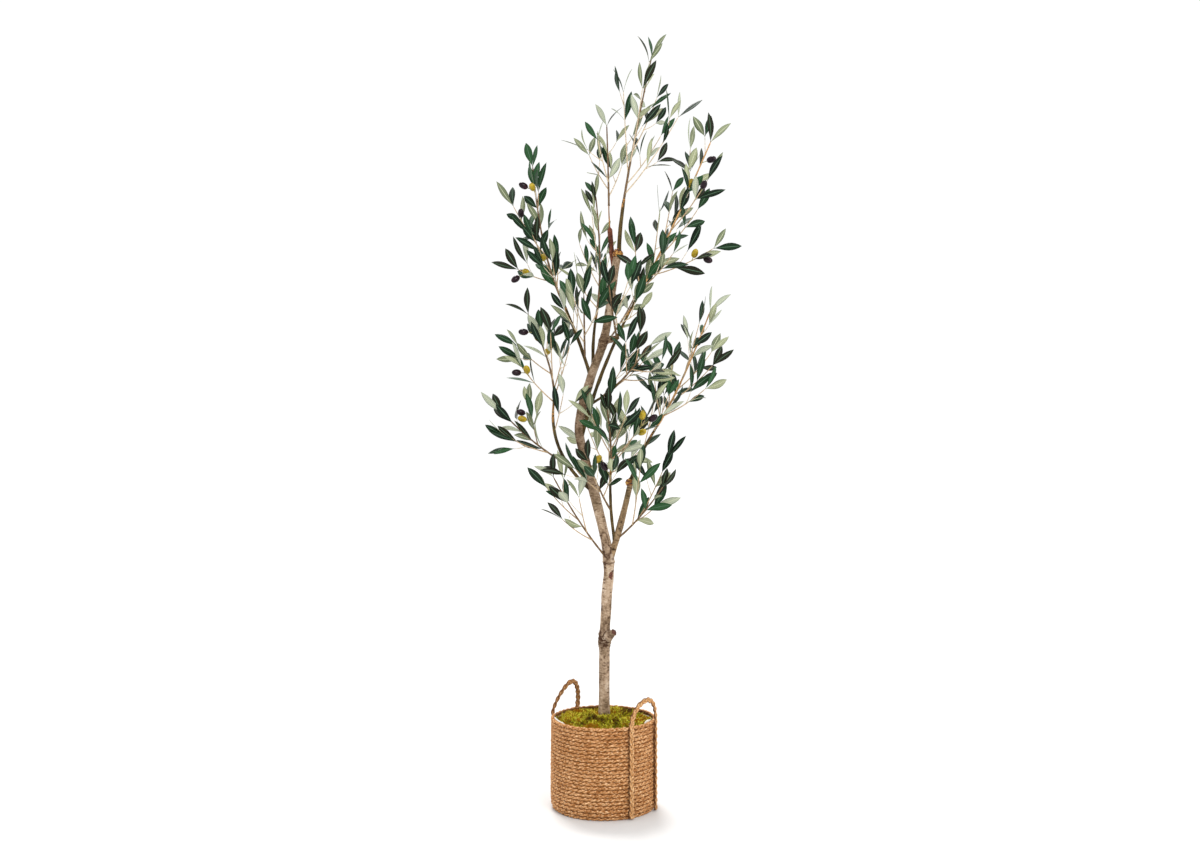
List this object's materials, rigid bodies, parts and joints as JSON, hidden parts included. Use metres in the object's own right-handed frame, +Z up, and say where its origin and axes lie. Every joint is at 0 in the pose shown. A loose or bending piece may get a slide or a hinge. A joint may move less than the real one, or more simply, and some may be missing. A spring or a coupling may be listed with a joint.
{
  "type": "artificial olive tree in basket",
  "caption": "Tall artificial olive tree: a bent stick trunk with wired sprays of narrow leaves and olives, set in moss in a coiled-rope basket with two plaited handles.",
  "frame": {"origin": "middle of the basket's flat underside", "axes": "+Z up along the trunk, -Y towards the front, +X to the right as seen from the front"},
  "size_m": [0.6185, 0.4612, 1.8265],
  "materials": {
    "rope": "coarse twisted plant-fibre rope, matt",
    "plait": "plaited plant-fibre rope, matt",
    "moss": "dried moss tufts, matt",
    "bark": "natural bark with knots and pores",
    "wrap": "moulded bark on wired branches, half matt",
    "foliage": "printed fabric leaves on plastic twigs, satin"
  },
  "bodies": {
    "root": {"basket": "rope", "handle_right": "plait", "handle_left": "plait", "moss": "moss", "trunk": "bark", "right_stem": "bark", "right_bough": "wrap", "inner_stem": "wrap", "left_bough": "wrap", "upper_left_bough": "wrap", "upper_right_bough": "wrap", "middle_bough": "wrap", "back_bough": "wrap", "leader": "wrap", "leader_side": "wrap", "leaves_top": "foliage", "leaves_top_left": "foliage", "leaves_back_left": "foliage", "leaves_upper_left": "foliage", "leaves_inner_left": "foliage", "leaves_upper_right": "foliage", "leaves_mid_left": "foliage", "leaves_low_left_arm": "foliage", "leaves_low_left": "foliage", "leaves_low_right": "foliage", "leaves_right": "foliage", "leaves_low_middle": "foliage", "leaves_middle": "foliage", "leaves_front_low": "foliage", "leaves_front_mid": "foliage", "leaves_back_low": "foliage", "leaves_back_mid": "foliage"}
  },
  "joints": []
}
